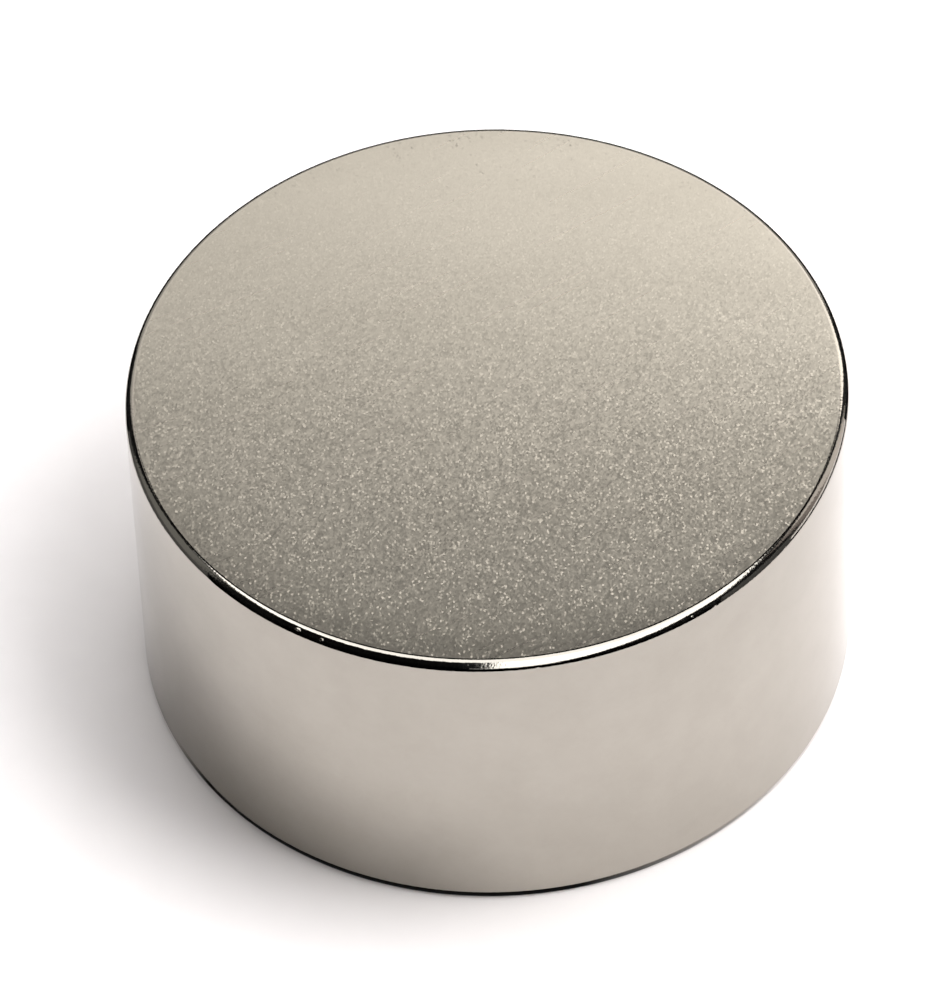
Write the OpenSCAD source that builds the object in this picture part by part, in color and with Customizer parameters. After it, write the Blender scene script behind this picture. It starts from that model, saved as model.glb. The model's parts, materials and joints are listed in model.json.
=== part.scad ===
// Cylinder magnet: one solid disc of sintered alloy under a bright nickel plating.
// The blank is tumbled, which rounds both rims, and its two pole faces are then ground flat.
// The origin is the centre of the lower pole face, and +Z is the axis of magnetisation.

/* [Body] */
// Diameter over the plated side wall
body_d = 40; // [10:1:80]
// Height from one ground pole face to the other
body_h = 20; // [5:0.5:60]

/* [Rims] */
// Radius that tumbling rounds onto both rims
rim_r = 0.6; // [0.2:0.05:1.5]
// Depth ground off each tumbled face, which leaves a crisp line where the face meets the rim
ground_depth = 0.02; // [0:0.005:0.1]

/* [Hidden] */
$fn = 180;
body_r = body_d / 2;
// Height of the tumbled blank before both faces are ground
blank_h = body_h + 2 * ground_depth;
// Margin by which the grinding slab is wider than the blank
slab_margin = 1;

// Half section of the tumbled blank, with its axis on the Y axis and its middle at mid height
module blank_half_section() {
    flat_r = body_r - rim_r;
    straight_h = blank_h - 2 * rim_r;
    translate([0, -blank_h / 2])
        square([flat_r, blank_h]);
    translate([0, -straight_h / 2])
        square([body_r, straight_h]);
    for (end = [-1, 1])
        translate([flat_r, end * straight_h / 2])
            circle(r = rim_r);
}

// Half section between the two ground pole faces
module ground_half_section() {
    intersection() {
        blank_half_section();
        translate([0, -body_h / 2])
            square([body_r + slab_margin, body_h]);
    }
}

module magnet() {
    color([0.71, 0.68, 0.62])
        translate([0, 0, body_h / 2])
            rotate_extrude()
                ground_half_section();
}

magnet();
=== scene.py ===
import json
import math

import bmesh
import bpy
from mathutils import Matrix, Vector

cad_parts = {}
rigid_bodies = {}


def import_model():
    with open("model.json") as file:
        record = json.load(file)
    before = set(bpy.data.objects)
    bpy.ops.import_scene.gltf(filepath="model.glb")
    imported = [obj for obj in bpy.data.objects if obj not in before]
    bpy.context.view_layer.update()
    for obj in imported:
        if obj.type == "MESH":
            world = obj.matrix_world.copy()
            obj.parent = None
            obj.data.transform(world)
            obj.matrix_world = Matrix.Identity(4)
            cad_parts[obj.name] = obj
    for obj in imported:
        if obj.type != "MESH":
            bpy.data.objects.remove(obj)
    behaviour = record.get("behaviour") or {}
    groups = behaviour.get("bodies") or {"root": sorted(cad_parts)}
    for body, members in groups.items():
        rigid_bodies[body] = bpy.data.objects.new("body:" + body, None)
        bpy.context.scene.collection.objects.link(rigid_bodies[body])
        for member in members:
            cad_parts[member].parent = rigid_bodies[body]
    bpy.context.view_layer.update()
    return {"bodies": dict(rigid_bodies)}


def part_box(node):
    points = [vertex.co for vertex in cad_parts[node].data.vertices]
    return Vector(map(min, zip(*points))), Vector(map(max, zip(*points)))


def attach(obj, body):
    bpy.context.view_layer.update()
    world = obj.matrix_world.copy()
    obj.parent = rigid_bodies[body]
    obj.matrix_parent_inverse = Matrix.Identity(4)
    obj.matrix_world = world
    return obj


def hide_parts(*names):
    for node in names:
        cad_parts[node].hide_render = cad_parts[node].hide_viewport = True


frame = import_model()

# The one body, which the piece rides on
BODY = next(iter(frame["bodies"]))

# --- Sizes, in metres, as the solid has them ---
MM = 0.001
LOW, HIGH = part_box("magnet")
BODY_R = min(-LOW.x, HIGH.x, -LOW.y, HIGH.y)
BODY_H = HIGH.z - LOW.z
RIM_R = 0.6 * MM
GROUND_DEPTH = 0.02 * MM
# Facets round the side wall, each half a degree
ROUND_STEPS = 720
# Facets across each rounded rim
RIM_STEPS = 14
# How far plating rounds the line where a ground face meets its rim
CORNER_EASE = 0.045 * MM
CORNER_STEPS = 3
# The flat middle of a ground face starts this far inside its edge
FACE_INSET = 2 * MM
# Margin for picking faces and edges by place
TOUCH = 0.002 * MM
# The cut takes off less than the tool's usual threshold, which would leave it undone
CUT_THRESHOLD = 0.0001 * MM
# Only a few edges of the nodules turn more sharply than this, so all the rest is shaded smooth
CRISP_ANGLE = math.radians(70)

# --- Camera ---
CAMERA_ELEVATION = math.radians(48.798)
CAMERA_ROLL = math.radians(-2.710)
CAMERA_DISTANCE = 0.51505
# Where the base centre lies in the camera's own right and up directions
CAMERA_OFFSET = (0.00189, -0.00700)
FOCAL_PIXELS = 9065.1
FRAME_LONG_SIDE = 1000
SENSOR_MM = 36.0
CAMERA_NEAR = 10 * MM

# A colour mix's own sockets, which share their names with those of its other kinds
MIX_A = 6
MIX_B = 7
MIX_RESULT = 2


def linear(code):
    """The linear colour of an sRGB hex code."""
    parts = [int(code[i:i + 2], 16) / 255 for i in (0, 2, 4)]
    flat = [c / 12.92 if c <= 0.04045 else ((c + 0.055) / 1.055) ** 2.4 for c in parts]
    return (*flat, 1.0)


def per_mm(size):
    """The texture scale that makes a pattern's features about this many millimetres wide."""
    return 1 / (size * MM)


def add_node(tree, kind, inputs=None, **settings):
    """Adds a node, sets it up, and fills its inputs with values or links."""
    made = tree.nodes.new(kind)
    for name, value in settings.items():
        setattr(made, name, value)
    for name, value in (inputs or {}).items():
        if isinstance(value, bpy.types.NodeSocket):
            tree.links.new(value, made.inputs[name])
        else:
            made.inputs[name].default_value = value
    return made


def new_material(name):
    made = bpy.data.materials.new(name)
    made.use_nodes = True
    made.node_tree.nodes.clear()
    return made


def finish_material(material, shader):
    output = material.node_tree.nodes.new("ShaderNodeOutputMaterial")
    material.node_tree.links.new(shader.outputs[0], output.inputs["Surface"])
    return material


# --- Materials ---

# Nickel electroplate is a warm pale grey metal
NICKEL = "B3AEA6"
NICKEL_DULL = "A5A097"
# The ground face scatters more, so it looks a shade darker and greener
GROUND_LIGHT = "B6B1A7"
GROUND_DARK = "9F9A90"
# Its slow cloudy bands: width, turn about the axis, and how much shorter than long they are
CLOUD_MM = 11.0
CLOUD_TURN = math.radians(-32)
CLOUD_SQUEEZE = 0.4
# The wheel that ground the faces: where their middle lies from its own, in metres, then the gap
# between its arcs, their length, and the roughness in and between them
WHEEL_SHIFT = (0.070, -0.132, 0.0)
ARC_GAP_MM = 0.4
ARC_LENGTH_MM = 10.0
GROUND_ROUGH_LEAST = 0.272
GROUND_ROUGH_MOST = 0.288
# The low swells that it left: width and height
SWELL_MM = 0.5
SWELL_HEIGHT_MM = 0.0008
# The plate's crystals: width, how far they are stretched front to back, how much their tone (and
# painted glint) differs, how far most of them lean, how far the glinting ones lean, and which share
# glint
FACET_MM = 0.098
FACET_STRETCH = 1.35
FACET_TONE_AND_GLINT = 0.02
FACET_LEAN = 0.055
GLINT_LEAN = 0.25
GLINT_SHARE = 0.26

# The bright plate's orange peel: width and height
PEEL_MM = 1.4
PEEL_HEIGHT_MM = 0.004
# Slow changes in the bath's brightening: width, and the roughness where it was weak and strong
BATH_MM = 3.0
BRIGHT_ROUGH_MOST = 0.12
BRIGHT_ROUGH_LEAST = 0.07
# Fine knocks from tumbling, on the rims only: width and height
KNOCK_MM = 0.16
KNOCK_HEIGHT_MM = 0.006

# The floor's card, which has the faintest tooth
CARD_DARK = "F3EFEF"
CARD_LIGHT = "F7F3F3"
CARD_TOOTH_MM = 2.5


def ground_nickel():
    """Nickel electroplate over a surface-ground pole face: a satin grey with a fine grain whose
    crystals sparkle, faint arcs from the wheel and slow cloudy bands where the plate is thicker."""
    material = new_material("ground_nickel_plate")
    tree = material.node_tree
    place = add_node(tree, "ShaderNodeTexCoord").outputs["Object"]

    # Cloudy bands, where the plate is thicker
    slant = add_node(tree, "ShaderNodeMapping", {
        "Vector": place, "Rotation": (0, 0, CLOUD_TURN),
        "Scale": (CLOUD_SQUEEZE, 1.0, 1.0)})
    cloud = add_node(tree, "ShaderNodeTexNoise", {
        "Vector": slant.outputs[0], "Scale": per_mm(CLOUD_MM), "Detail": 3.0})
    band = add_node(tree, "ShaderNodeMix", {
        "Factor": cloud.outputs["Fac"],
        MIX_A: linear(GROUND_DARK), MIX_B: linear(GROUND_LIGHT)},
        data_type="RGBA")

    # Real crystals are near 0.03 mm, too fine to show, so they are drawn about 0.1 mm wide. Each
    # leans its own way by about two degrees at most, and some lean up to ten degrees more, all
    # towards the same side, and glint
    stretched = add_node(tree, "ShaderNodeMapping", {
        "Vector": place, "Scale": (1.0, 1 / FACET_STRETCH, 1.0)})
    cells = add_node(tree, "ShaderNodeTexVoronoi", {
        "Vector": stretched.outputs[0], "Scale": per_mm(FACET_MM)})
    lean = add_node(tree, "ShaderNodeVectorMath", {
        0: cells.outputs["Color"], 1: (0.5, 0.5, 0.5)}, operation="SUBTRACT")
    flat = add_node(tree, "ShaderNodeVectorMath", {
        0: lean.outputs[0], 1: (1.0, 1.0, 0.0)}, operation="MULTIPLY")
    chance = add_node(tree, "ShaderNodeSeparateXYZ", {"Vector": cells.outputs["Color"]})
    small = add_node(tree, "ShaderNodeVectorMath", {
        0: flat.outputs[0], "Scale": FACET_LEAN}, operation="SCALE")
    one_way = add_node(tree, "ShaderNodeVectorMath", {0: flat.outputs[0]}, operation="ABSOLUTE")
    how_far = add_node(tree, "ShaderNodeMapRange", {
        "Value": chance.outputs["Z"], "From Min": 1.0 - GLINT_SHARE, "From Max": 1.0,
        "To Min": 0.0, "To Max": GLINT_LEAN})
    ridge = add_node(tree, "ShaderNodeVectorMath", {
        0: one_way.outputs[0], "Scale": how_far.outputs[0]}, operation="SCALE")
    tilt = add_node(tree, "ShaderNodeVectorMath", {
        0: small.outputs[0], 1: ridge.outputs[0]}, operation="ADD")

    # Wheel arcs, swept from a centre well outside the face
    wheel = add_node(tree, "ShaderNodeMapping", {
        "Vector": place, "Location": WHEEL_SHIFT})
    reach = add_node(tree, "ShaderNodeVectorMath", {0: wheel.outputs[0]}, operation="LENGTH")
    across = add_node(tree, "ShaderNodeMath", {
        0: reach.outputs["Value"], 1: per_mm(ARC_GAP_MM)}, operation="MULTIPLY")
    sweep = add_node(tree, "ShaderNodeSeparateXYZ", {"Vector": place})
    along = add_node(tree, "ShaderNodeMath", {
        0: sweep.outputs["X"], 1: per_mm(ARC_LENGTH_MM)}, operation="MULTIPLY")
    swept = add_node(tree, "ShaderNodeCombineXYZ", {"X": across.outputs[0], "Y": along.outputs[0]})
    arcs = add_node(tree, "ShaderNodeTexNoise", {
        "Vector": swept.outputs[0], "Scale": 1.0, "Detail": 2.0}, noise_dimensions="2D")
    rough = add_node(tree, "ShaderNodeMapRange", {
        "Value": arcs.outputs["Fac"], "From Min": 0.25, "From Max": 0.75,
        "To Min": GROUND_ROUGH_LEAST, "To Max": GROUND_ROUGH_MOST})
    # Each crystal has its own tone as well, a few hundredths up or down. It rises with the cell
    # value that leans the crystal to the right, towards the brighter lights, so it is partly painted
    # glint
    tone_and_glint = add_node(tree, "ShaderNodeMapRange", {
        "Value": chance.outputs["X"], "To Min": 1.0 - FACET_TONE_AND_GLINT, "To Max": 1.0 + FACET_TONE_AND_GLINT})
    toned = add_node(tree, "ShaderNodeVectorMath", {
        0: band.outputs[MIX_RESULT], "Scale": tone_and_glint.outputs[0]}, operation="SCALE")
    # Low swells left by the wheel
    swell = add_node(tree, "ShaderNodeTexNoise", {
        "Vector": place, "Scale": per_mm(SWELL_MM), "Detail": 1.0})
    swelled = add_node(tree, "ShaderNodeBump", {
        "Height": swell.outputs["Fac"], "Strength": 1.0, "Distance": SWELL_HEIGHT_MM * MM})
    leaning = add_node(tree, "ShaderNodeVectorMath", {
        0: swelled.outputs[0], 1: tilt.outputs[0]}, operation="ADD")
    facets = add_node(tree, "ShaderNodeVectorMath", {0: leaning.outputs[0]}, operation="NORMALIZE")
    shader = add_node(tree, "ShaderNodeBsdfPrincipled", {
        "Base Color": toned.outputs[0], "Metallic": 1.0,
        "Roughness": rough.outputs[0], "Normal": facets.outputs[0]})
    return finish_material(material, shader)


def bright_nickel():
    """Bright nickel electroplate over a tumbled wall: a near mirror, whose faint orange peel
    softens and bends what it reflects."""
    material = new_material("bright_nickel_plate")
    tree = material.node_tree
    place = add_node(tree, "ShaderNodeTexCoord").outputs["Object"]
    # Orange peel of the plate
    peel = add_node(tree, "ShaderNodeTexNoise", {
        "Vector": place, "Scale": per_mm(PEEL_MM), "Detail": 2.0, "Roughness": 0.4})
    # Slow changes in the bath's brightening
    bath = add_node(tree, "ShaderNodeTexNoise", {
        "Vector": place, "Scale": per_mm(BATH_MM), "Detail": 5.0, "Roughness": 0.7})
    tone = add_node(tree, "ShaderNodeMix", {
        "Factor": bath.outputs["Fac"], MIX_A: linear(NICKEL_DULL), MIX_B: linear(NICKEL)},
        data_type="RGBA")
    rough = add_node(tree, "ShaderNodeMapRange", {
        "Value": bath.outputs["Fac"], "From Min": 0.3, "From Max": 0.7,
        "To Min": BRIGHT_ROUGH_MOST, "To Max": BRIGHT_ROUGH_LEAST})
    peeled = add_node(tree, "ShaderNodeBump", {
        "Height": peel.outputs["Fac"], "Strength": 1.0, "Distance": PEEL_HEIGHT_MM * MM})
    # The rims keep a finer unevenness from tumbling, and the wall has none
    height = add_node(tree, "ShaderNodeSeparateXYZ", {"Vector": place})
    from_middle = add_node(tree, "ShaderNodeMath", {
        0: height.outputs["Z"], 1: LOW.z + BODY_H / 2}, operation="SUBTRACT")
    off_middle = add_node(tree, "ShaderNodeMath", {0: from_middle.outputs[0]}, operation="ABSOLUTE")
    on_rim = add_node(tree, "ShaderNodeMapRange", {
        "Value": off_middle.outputs[0],
        "From Min": BODY_H / 2 - RIM_R, "From Max": BODY_H / 2 - RIM_R * 0.8})
    knocks = add_node(tree, "ShaderNodeTexNoise", {
        "Vector": place, "Scale": per_mm(KNOCK_MM), "Detail": 2.0})
    dents = add_node(tree, "ShaderNodeMath", {
        0: knocks.outputs["Fac"], 1: on_rim.outputs[0]}, operation="MULTIPLY")
    dented = add_node(tree, "ShaderNodeBump", {
        "Height": dents.outputs[0], "Strength": 1.0, "Distance": KNOCK_HEIGHT_MM * MM,
        "Normal": peeled.outputs[0]})
    shader = add_node(tree, "ShaderNodeBsdfPrincipled", {
        "Base Color": tone.outputs[MIX_RESULT], "Metallic": 1.0,
        "Roughness": rough.outputs[0], "Normal": dented.outputs[0]})
    return finish_material(material, shader)


def white_card():
    """Matt white card: a plain diffuse floor with the faintest tooth."""
    material = new_material("matt_white_card")
    tree = material.node_tree
    place = add_node(tree, "ShaderNodeTexCoord").outputs["Object"]
    tooth = add_node(tree, "ShaderNodeTexNoise", {"Vector": place, "Scale": per_mm(CARD_TOOTH_MM)})
    tone = add_node(tree, "ShaderNodeMix", {
        "Factor": tooth.outputs["Fac"], MIX_A: linear(CARD_DARK), MIX_B: linear(CARD_LIGHT)},
        data_type="RGBA")
    shader = add_node(tree, "ShaderNodeBsdfPrincipled", {
        "Base Color": tone.outputs[MIX_RESULT], "Roughness": 0.9, "Specular IOR Level": 0.1})
    return finish_material(material, shader)


def glow(name, colour, strength):
    material = new_material(name)
    shader = add_node(material.node_tree, "ShaderNodeEmission", {
        "Color": linear(colour), "Strength": strength})
    return finish_material(material, shader)


# --- Mesh helpers ---

def deselect_all():
    for thing in bpy.context.selected_objects:
        thing.select_set(False)


def pick_faces(piece, wanted):
    """Selects, in edit mode, only the faces for which wanted(centre, normal) is true."""
    bpy.ops.mesh.select_mode(type="FACE")
    bpy.ops.mesh.select_all(action="DESELECT")
    shape = bmesh.from_edit_mesh(piece.data)
    for face in shape.faces:
        face.select_set(wanted(face.calc_center_median(), face.normal))
    bmesh.update_edit_mesh(piece.data)


def pick_edges(piece, wanted):
    """Selects, in edit mode, only the edges for which wanted(end, other end) is true."""
    bpy.ops.mesh.select_mode(type="EDGE")
    bpy.ops.mesh.select_all(action="DESELECT")
    shape = bmesh.from_edit_mesh(piece.data)
    for edge in shape.edges:
        edge.select_set(wanted(edge.verts[0].co, edge.verts[1].co))
    bmesh.update_edit_mesh(piece.data)


# --- The magnet ---

# Plating nodules on the upper rim: turn about the axis and slope up from the side wall, in
# degrees, then half length along the rim, half width across it and height, in millimetres
NODULES = (
    (-123.1, 37, 0.21, 0.08, 0.034),
    (-118.8, 35, 0.10, 0.09, 0.030),
    (-84.1, 9, 0.09, 0.06, 0.016),
    (-58.2, 28, 0.14, 0.07, 0.022),
    (-54.1, 14, 0.10, 0.07, 0.018),
)
# Each rises in two steps: how far each step is drawn in, and its share of the height
NODULE_FOOT = 0.020 * MM
NODULE_FOOT_SHARE = 0.7
NODULE_CROWN = 0.014 * MM
NODULE_CROWN_SHARE = 0.3


def tumbled_blank():
    """A disc with both rims rolled round, taller than the magnet by what is ground off."""
    deselect_all()
    blank_h = BODY_H + 2 * GROUND_DEPTH
    bpy.ops.mesh.primitive_cylinder_add(
        vertices=ROUND_STEPS, radius=BODY_R, depth=blank_h,
        location=(0, 0, LOW.z + BODY_H / 2))
    piece = bpy.context.object
    piece.name = "magnet_plated"
    bpy.ops.object.transform_apply(location=True, rotation=True, scale=True)
    bpy.ops.object.mode_set(mode="EDIT")
    mid = LOW.z + BODY_H / 2
    pick_edges(piece, lambda a, b: abs(a.z - b.z) < TOUCH
               and abs(a.z - mid) > blank_h / 2 - TOUCH)
    bpy.ops.mesh.bevel(offset=RIM_R, offset_type="OFFSET", segments=RIM_STEPS, profile=0.5)
    return piece


def grind_faces(piece):
    """Cuts both pole faces flat, just before the rim comes level with them."""
    for height, way in ((HIGH.z, 1), (LOW.z, -1)):
        bpy.ops.mesh.select_all(action="SELECT")
        bpy.ops.mesh.bisect(
            plane_co=(0, 0, height), plane_no=(0, 0, way),
            use_fill=True, clear_outer=True, threshold=CUT_THRESHOLD)
    pick_faces(piece, lambda centre, normal: math.hypot(centre.x, centre.y) < BODY_R / 4)
    bpy.ops.mesh.inset(thickness=FACE_INSET)
    bpy.ops.mesh.poke()


def ease_corner(piece):
    """Eases the line between each ground face and its rim, which plating always rounds a little."""
    flat_r = BODY_R - RIM_R + math.sqrt(RIM_R ** 2 - (RIM_R - GROUND_DEPTH) ** 2)
    pick_edges(piece, lambda a, b: all(
        min(abs(end.z - HIGH.z), abs(end.z - LOW.z)) < TOUCH
        and abs(math.hypot(end.x, end.y) - flat_r) < 8 * TOUCH for end in (a, b)))
    bpy.ops.mesh.bevel(offset=CORNER_EASE, offset_type="OFFSET", segments=CORNER_STEPS, profile=0.5)


def raise_nodules(piece):
    """Lifts a few small patches of the rim into low nodules, as rack plating leaves them."""
    for turn, slope, half_along, half_across, height in NODULES:
        around, up = math.radians(turn), math.radians(slope)
        reach = BODY_R - RIM_R + RIM_R * math.cos(up)
        spot = Vector((reach * math.cos(around), reach * math.sin(around),
                       HIGH.z + GROUND_DEPTH - RIM_R + RIM_R * math.sin(up)))
        way = Vector((-math.sin(around), math.cos(around), 0))

        def on_nodule(centre, normal):
            off = centre - spot
            along = off.dot(way)
            across = (off - along * way).length
            return math.hypot(along / half_along, across / half_across) < MM

        pick_faces(piece, on_nodule)
        bpy.ops.mesh.inset(thickness=NODULE_FOOT, depth=height * MM * NODULE_FOOT_SHARE)
        bpy.ops.mesh.inset(thickness=NODULE_CROWN, depth=height * MM * NODULE_CROWN_SHARE)


def build_magnet():
    """The whole magnet: one closed piece, bright all over but for its two ground faces."""
    piece = tumbled_blank()
    grind_faces(piece)
    ease_corner(piece)
    raise_nodules(piece)
    pick_faces(piece, lambda centre, normal: True)
    bpy.ops.mesh.normals_make_consistent(inside=False)
    bpy.ops.object.mode_set(mode="OBJECT")
    piece.data.materials.append(bright_nickel())
    piece.data.materials.append(ground_nickel())
    # Only the dead flat faces are ground, and their eased edges are not
    for face in piece.data.polygons:
        on_pole = min(abs(face.center.z - HIGH.z), abs(face.center.z - LOW.z)) < TOUCH / 4
        face.material_index = 1 if on_pole and abs(face.normal.z) > 0.9999 else 0
    bpy.ops.object.shade_smooth_by_angle(angle=CRISP_ANGLE)
    # Large faces rule the shading, so the ground faces stay dead flat up to their edges
    piece.modifiers.new("flat_poles", "WEIGHTED_NORMAL")
    bpy.ops.object.modifier_apply(modifier="flat_poles")
    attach(piece, BODY)
    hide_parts("magnet")


# --- Studio ---

# The white tent overhead: its lower edge, as turn round the magnet and lean from the zenith in
# degrees. It comes down low in front on the right, and leaves a gap behind
TENT_HEM = (
    (-180, 40), (-165, 37), (-150, 33), (-130, 30), (-95, 27), (-92, 27), (-91, 90), (-78, 89),
    (-65, 79), (-55, 70), (-45, 65), (-37, 59), (-25, 55), (-10, 45), (0, 39), (15, 33),
    (30, 30), (45, 28), (50, 12), (130, 12), (134, 30), (150, 34), (180, 40),
)
TENT_STRENGTH = 2.4
# Its skirt, below this lean, is lit more strongly
SKIRT_FROM = 27
SKIRT_STRENGTH = 3.2
# Smaller reflection cards: name, turn from and to, lean from the zenith from and to, in degrees,
# then colour and strength
DOME_CARDS = (
    ("panel_right", 15, 33, 42, 90, "FFF8F4", 1.05),
    ("panel_right_edge", 3, 15, 45, 90, "F6E9E4", 0.40),
    ("patch_front_right", -22, -3, 75, 90, "B8B8B4", 0.30),
    ("backdrop_behind", 54, 126, 40, 88, "F4F1EC", 0.62),
    ("patch_left", -180, -173, 58, 90, "B8B8B4", 0.45),
    ("patch_left_back", 150, 180, 42, 90, "B8B8B4", 0.55),
)
DOME_R = 0.9
# The sphere that they are cut from: facets round and facets from pole to pole
DOME_TURNS = 180
DOME_RINGS = 120

# The painted shade under the lower rim: its inner radius, how far out it is seen directly, how far
# out the rim mirrors it, and how far out the wall mirrors a fainter painted shade that the camera
# never sees
SHADE_INNER = 19.56 * MM
SHADE_SEEN = 19.87 * MM
SHADE_MIRRORED = 20.35 * MM
SHADE_OUTER = 26.5 * MM
SHADE_TRACE = 0.32
# Its height off the floor, the softness of its edge, and its own glow
SHADE_LIFT = 0.01 * MM
SHADE_SOFTNESS = 0.04 * MM
SHADE_GLOW = 0.006
# Where the shade, and then its trace, begins and is full, to the left and to the front
SHADE_NONE_X, SHADE_FULL_X = 16 * MM, 4 * MM
SHADE_NONE_Y, SHADE_FULL_Y = -6 * MM, -11 * MM
TRACE_NONE_X, TRACE_FULL_X = 2 * MM, -6 * MM
TRACE_NONE_Y, TRACE_FULL_Y = 1 * MM, -6 * MM

# Strength of the pale walls that light the floor from low down, how high they reach, and the
# share of that height by which their top is soft
WALL_RIGHT = 7.2
WALL_LEFT = 3.4
WALL_BACK = 5.8
WALL_TOP = math.sin(math.radians(20))
WALL_SOFTNESS = 0.25
# The air as polished metal mirrors it, and as it is seen past the floor's edge
AIR_MIRRORED = 0.004
AIR_SEEN = 1.0

# The lamps, which light only what is matt: name, place, size and power
LAMPS = (
    ("key_right", (0.17, -0.03, 0.36), 0.20, 1.13),
    ("key_behind", (0.02, 0.07, 0.36), 0.20, 0.645),
)

FLOOR_SIZE = 6.0

# Dark flags on a hoop 2 mm outside the upper rim. They are staging and no part of the magnet. In
# low views the wall mirrors them as a dark line, stepped where one flag meets a taller one: name,
# turn from and to in degrees, lower and upper edge in millimetres, and strength
FLAG_R = 22 * MM
FLAG_STEPS = 144
FLAGS = (
    ("flag_front_left", -145, -94, 17.6, 20.1, 0.0),
    ("flag_front", -94, -80, 17.6, 19.5, 0.0),
    ("flag_front_step", -80, -72, 17.6, 19.8, 0.0),
    ("flag_front_right", -72, -51, 17.6, 20.2, 0.0),
    ("flag_grey_right", -51, -32, 18.0, 20.2, 0.10),
    ("flag_right", -32, -4, 18.0, 19.0, 0.02),
    ("flag_right_back", -4, 15, 18.0, 20.2, 0.0),
    ("flag_back", 15, 180, 18.1, 20.1, 0.0),
    ("flag_grey_left", -180, -145, 18.1, 19.9, 0.12),
)

# The strip behind the magnet: how far back, how far right, how high, its size, and its strength
# at the right, which fades to nothing at the left
STRIP_BACK = 60 * MM
STRIP_RIGHTWARD = 2 * MM
STRIP_HEIGHT = 69 * MM
STRIP_LENGTH = 154 * MM
STRIP_WIDTH = 44 * MM
STRIP_STRENGTH = 2.88
STRIP_DARK_END = -105 * MM
STRIP_BRIGHT_END = 75 * MM
STRIP_COLOUR = "FFFBF6"


def hem_lean(turn):
    """How far the tent comes down from the zenith at a turn, in degrees."""
    for (turn_a, lean_a), (turn_b, lean_b) in zip(TENT_HEM, TENT_HEM[1:]):
        if turn_a <= turn <= turn_b:
            return lean_a + (lean_b - lean_a) * (turn - turn_a) / (turn_b - turn_a)


def only_in_reflections(card):
    card.visible_camera = False
    card.visible_diffuse = False
    card.visible_shadow = False


def dome_card(name, wanted, colour, strength):
    """The part of a sphere for which wanted(turn, lean) is true, seen only in reflections."""
    deselect_all()
    bpy.ops.mesh.primitive_uv_sphere_add(
        segments=DOME_TURNS, ring_count=DOME_RINGS, radius=DOME_R)
    card = bpy.context.object
    card.name = name
    bpy.ops.object.mode_set(mode="EDIT")

    def outside(centre, normal):
        turn = math.degrees(math.atan2(centre.y, centre.x))
        lean = math.degrees(math.acos(centre.z / centre.length))
        return not wanted(turn, lean)

    pick_faces(card, outside)
    bpy.ops.mesh.delete(type="FACE")
    bpy.ops.object.mode_set(mode="OBJECT")
    card.data.materials.append(glow(name + "_glow", colour, strength))
    only_in_reflections(card)


def tent():
    """The white tent overhead, and the smaller cards round it."""
    dome_card("tent", lambda turn, lean: lean < min(hem_lean(turn), SKIRT_FROM), "FFFFFF",
              TENT_STRENGTH)
    dome_card("tent_skirt", lambda turn, lean: SKIRT_FROM < lean < hem_lean(turn), "FFFFFF",
              SKIRT_STRENGTH)
    for name, turn_from, turn_to, lean_from, lean_to, colour, strength in DOME_CARDS:
        dome_card(name, lambda turn, lean: turn_from < turn < turn_to and lean_from < lean < lean_to,
                  colour, strength)


def near_strip():
    """A low soft strip close behind, brighter to the right: the upper pole face mirrors it, and so
    fades from the far side to the near one."""
    deselect_all()
    bpy.ops.mesh.primitive_grid_add(
        x_subdivisions=8, y_subdivisions=2, size=1, rotation=(math.radians(90), 0, 0),
        location=(STRIP_RIGHTWARD, STRIP_BACK, STRIP_HEIGHT))
    strip = bpy.context.object
    strip.name = "strip_near"
    strip.scale = (STRIP_LENGTH, STRIP_WIDTH, 1)
    bpy.ops.object.transform_apply(location=True, rotation=True, scale=True)
    material = new_material("strip_near_glow")
    tree = material.node_tree
    place = add_node(tree, "ShaderNodeTexCoord").outputs["Object"]
    along = add_node(tree, "ShaderNodeSeparateXYZ", {"Vector": place})
    power = add_node(tree, "ShaderNodeMapRange", {
        "Value": along.outputs["X"],
        "From Min": STRIP_DARK_END, "From Max": STRIP_BRIGHT_END,
        "To Min": 0.0, "To Max": STRIP_STRENGTH})
    shader = add_node(tree, "ShaderNodeEmission", {
        "Color": linear(STRIP_COLOUR), "Strength": power.outputs[0]})
    strip.data.materials.append(finish_material(material, shader))
    only_in_reflections(strip)


def flag(name, turn_from, turn_to, low, high, strength):
    """A dark piece of the hoop, seen only in reflections, for the black line along the rim."""
    deselect_all()
    bpy.ops.mesh.primitive_cylinder_add(
        vertices=FLAG_STEPS, radius=FLAG_R, depth=(high - low) * MM, end_fill_type="NOTHING",
        location=(0, 0, (low + high) / 2 * MM))
    piece = bpy.context.object
    piece.name = name
    bpy.ops.object.transform_apply(location=True, rotation=True, scale=True)
    bpy.ops.object.mode_set(mode="EDIT")
    pick_faces(piece, lambda centre, normal: not (
        turn_from < math.degrees(math.atan2(centre.y, centre.x)) < turn_to))
    bpy.ops.mesh.delete(type="FACE")
    bpy.ops.object.mode_set(mode="OBJECT")
    material = new_material(name + "_felt")
    tree = material.node_tree
    ray = add_node(tree, "ShaderNodeLightPath")
    felt = add_node(tree, "ShaderNodeEmission", {"Strength": strength})
    clear = add_node(tree, "ShaderNodeBsdfTransparent")
    # Light that the wall throws on to the floor passes through it
    shader = add_node(tree, "ShaderNodeMixShader", {
        0: ray.outputs["Diffuse Depth"], 1: felt.outputs[0], 2: clear.outputs[0]})
    piece.data.materials.append(finish_material(material, shader))
    only_in_reflections(piece)


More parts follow.
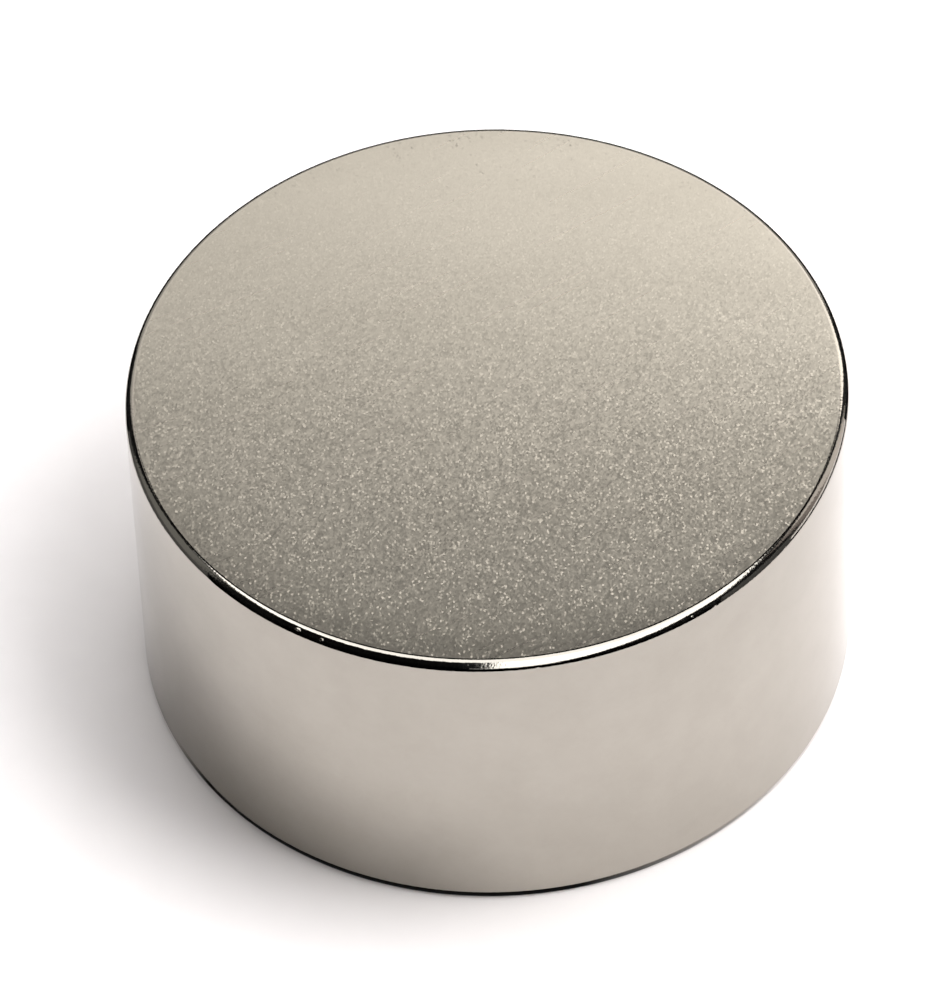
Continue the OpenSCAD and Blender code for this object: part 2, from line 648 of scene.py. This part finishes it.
def contact_shade():
    """The thin dark line where the magnet stands on the floor, drawn and not cast by the lights:
    shade under the lower rim, and what the rim mirrors of it. It is in front and on the left."""
    deselect_all()
    bpy.ops.mesh.primitive_circle_add(
        vertices=ROUND_STEPS, radius=SHADE_OUTER, fill_type="NGON",
        location=(0, 0, SHADE_LIFT))
    ring = bpy.context.object
    ring.name = "contact_shade"
    bpy.ops.object.transform_apply(location=True, rotation=True, scale=True)
    bpy.ops.object.mode_set(mode="EDIT")
    bpy.ops.mesh.inset(thickness=SHADE_OUTER - SHADE_INNER)
    bpy.ops.mesh.delete(type="FACE")
    bpy.ops.object.mode_set(mode="OBJECT")
    material = new_material("contact_shade")
    tree = material.node_tree
    place = add_node(tree, "ShaderNodeTexCoord").outputs["Object"]
    way = add_node(tree, "ShaderNodeSeparateXYZ", {"Vector": place})
    reach = add_node(tree, "ShaderNodeVectorMath", {0: place}, operation="LENGTH")
    ray = add_node(tree, "ShaderNodeLightPath")
    edge = add_node(tree, "ShaderNodeMapRange", {
        "Value": ray.outputs["Is Camera Ray"], "To Min": SHADE_MIRRORED, "To Max": SHADE_SEEN})
    inside = add_node(tree, "ShaderNodeMath", {
        0: edge.outputs[0], 1: reach.outputs["Value"]}, operation="SUBTRACT")
    deep = add_node(tree, "ShaderNodeMapRange", {
        "Value": inside.outputs[0], "From Max": SHADE_SOFTNESS})
    leftward = add_node(tree, "ShaderNodeMapRange", {
        "Value": way.outputs["X"], "From Min": SHADE_NONE_X, "From Max": SHADE_FULL_X})
    frontward = add_node(tree, "ShaderNodeMapRange", {
        "Value": way.outputs["Y"], "From Min": SHADE_NONE_Y, "From Max": SHADE_FULL_Y})
    in_front = add_node(tree, "ShaderNodeMath", {
        0: leftward.outputs[0], 1: frontward.outputs[0]}, operation="MULTIPLY")
    line = add_node(tree, "ShaderNodeMath", {
        0: deep.outputs[0], 1: in_front.outputs[0]}, operation="MULTIPLY")
    # Beyond the rim's reach, a fainter painted shade that only glossy rays see, so only the wall
    # mirrors it
    fading = add_node(tree, "ShaderNodeMapRange", {
        "Value": reach.outputs["Value"], "From Min": SHADE_MIRRORED, "From Max": SHADE_OUTER,
        "To Min": SHADE_TRACE, "To Max": 0.0})
    far_left = add_node(tree, "ShaderNodeMapRange", {
        "Value": way.outputs["X"], "From Min": TRACE_NONE_X, "From Max": TRACE_FULL_X})
    far_front = add_node(tree, "ShaderNodeMapRange", {
        "Value": way.outputs["Y"], "From Min": TRACE_NONE_Y, "From Max": TRACE_FULL_Y})
    corner = add_node(tree, "ShaderNodeMath", {
        0: far_left.outputs[0], 1: far_front.outputs[0]}, operation="MULTIPLY")
    unseen = add_node(tree, "ShaderNodeMath", {
        0: corner.outputs[0], 1: ray.outputs["Is Glossy Ray"]}, operation="MULTIPLY")
    trace = add_node(tree, "ShaderNodeMath", {
        0: fading.outputs[0], 1: unseen.outputs[0]}, operation="MULTIPLY")
    amount = add_node(tree, "ShaderNodeMath", {
        0: line.outputs[0], 1: trace.outputs[0]}, operation="MAXIMUM")
    clear = add_node(tree, "ShaderNodeBsdfTransparent")
    dark = add_node(tree, "ShaderNodeEmission", {"Strength": SHADE_GLOW})
    shader = add_node(tree, "ShaderNodeMixShader", {
        0: amount.outputs[0], 1: clear.outputs[0], 2: dark.outputs[0]})
    ring.data.materials.append(finish_material(material, shader))
    ring.visible_diffuse = False
    ring.visible_shadow = False


def floor():
    deselect_all()
    bpy.ops.mesh.primitive_plane_add(size=FLOOR_SIZE)
    sheet = bpy.context.object
    sheet.name = "floor"
    sheet.data.materials.append(white_card())


def soft_light(name, place, size, power):
    """A round lamp aimed at the magnet, which polished metal doesn't mirror."""
    data = bpy.data.lights.new(name, "AREA")
    data.shape = "DISK"
    data.size = size
    data.energy = power
    lamp = bpy.data.objects.new(name, data)
    bpy.context.scene.collection.objects.link(lamp)
    lamp.location = place
    lamp.rotation_euler = (-Vector(place)).to_track_quat("-Z", "Y").to_euler()
    lamp.visible_glossy = False


def studio():
    floor()
    contact_shade()
    tent()
    near_strip()
    for values in FLAGS:
        flag(*values)
    for values in LAMPS:
        soft_light(*values)
    studio_air()


def studio_air():
    """Pale walls all round but in front, which light the floor from low down."""
    world = bpy.data.worlds.new("studio_air")
    bpy.context.scene.world = world
    world.use_nodes = True
    tree = world.node_tree
    tree.nodes.clear()
    around = add_node(tree, "ShaderNodeTexCoord").outputs["Generated"]
    way = add_node(tree, "ShaderNodeSeparateXYZ", {"Vector": around})
    to_right = add_node(tree, "ShaderNodeMapRange", {
        "Value": way.outputs["X"], "From Max": 1.0, "To Max": WALL_RIGHT})
    to_left = add_node(tree, "ShaderNodeMapRange", {
        "Value": way.outputs["X"], "From Max": -1.0, "To Max": WALL_LEFT})
    to_back = add_node(tree, "ShaderNodeMapRange", {
        "Value": way.outputs["Y"], "From Max": 1.0, "To Max": WALL_BACK})
    sides = add_node(tree, "ShaderNodeMath", {
        0: to_right.outputs[0], 1: to_left.outputs[0]}, operation="ADD")
    round_about = add_node(tree, "ShaderNodeMath", {
        0: sides.outputs[0], 1: to_back.outputs[0]}, operation="ADD")
    low_down = add_node(tree, "ShaderNodeMapRange", {
        "Value": way.outputs["Z"],
        "From Min": WALL_TOP * (1 + WALL_SOFTNESS), "From Max": WALL_TOP * (1 - WALL_SOFTNESS)})
    strength = add_node(tree, "ShaderNodeMath", {
        0: round_about.outputs[0], 1: low_down.outputs[0]}, operation="MULTIPLY")
    walls = add_node(tree, "ShaderNodeBackground", {"Strength": strength.outputs[0]})
    dark = add_node(tree, "ShaderNodeBackground", {"Strength": AIR_MIRRORED})
    pale = add_node(tree, "ShaderNodeBackground", {"Strength": AIR_SEEN})
    # What the polished metal mirrors is the cards; the walls only light the floor
    ray = add_node(tree, "ShaderNodeLightPath")
    mirrored = add_node(tree, "ShaderNodeMath", {
        0: ray.outputs["Is Glossy Ray"], 1: ray.outputs["Diffuse Depth"]}, operation="SUBTRACT",
        use_clamp=True)
    reflected = add_node(tree, "ShaderNodeMixShader", {
        0: mirrored.outputs[0], 1: walls.outputs[0], 2: dark.outputs[0]})
    seen = add_node(tree, "ShaderNodeMixShader", {
        0: ray.outputs["Is Camera Ray"], 1: reflected.outputs[0], 2: pale.outputs[0]})
    output = tree.nodes.new("ShaderNodeOutputWorld")
    tree.links.new(seen.outputs[0], output.inputs["Surface"])


def camera():
    """A long lens high in front, rolled a little."""
    lean, roll = CAMERA_ELEVATION, CAMERA_ROLL
    right = Vector((1, 0, 0))
    up = Vector((0, math.sin(lean), math.cos(lean)))
    back = Vector((0, -math.cos(lean), math.sin(lean)))
    rolled_right = math.cos(roll) * right + math.sin(roll) * up
    rolled_up = -math.sin(roll) * right + math.cos(roll) * up
    turn = Matrix((rolled_right, rolled_up, back)).transposed()
    offset = Vector((CAMERA_OFFSET[0], CAMERA_OFFSET[1], -CAMERA_DISTANCE))
    data = bpy.data.cameras.new("long_lens")
    data.sensor_width = SENSOR_MM
    data.lens = FOCAL_PIXELS / FRAME_LONG_SIDE * SENSOR_MM
    data.clip_start = CAMERA_NEAR
    made = bpy.data.objects.new("long_lens", data)
    bpy.context.scene.collection.objects.link(made)
    made.matrix_world = Matrix.Translation(-(turn @ offset)) @ turn.to_4x4()
    bpy.context.scene.camera = made


bpy.context.scene.view_settings.view_transform = "Standard"
camera()
build_magnet()
studio()
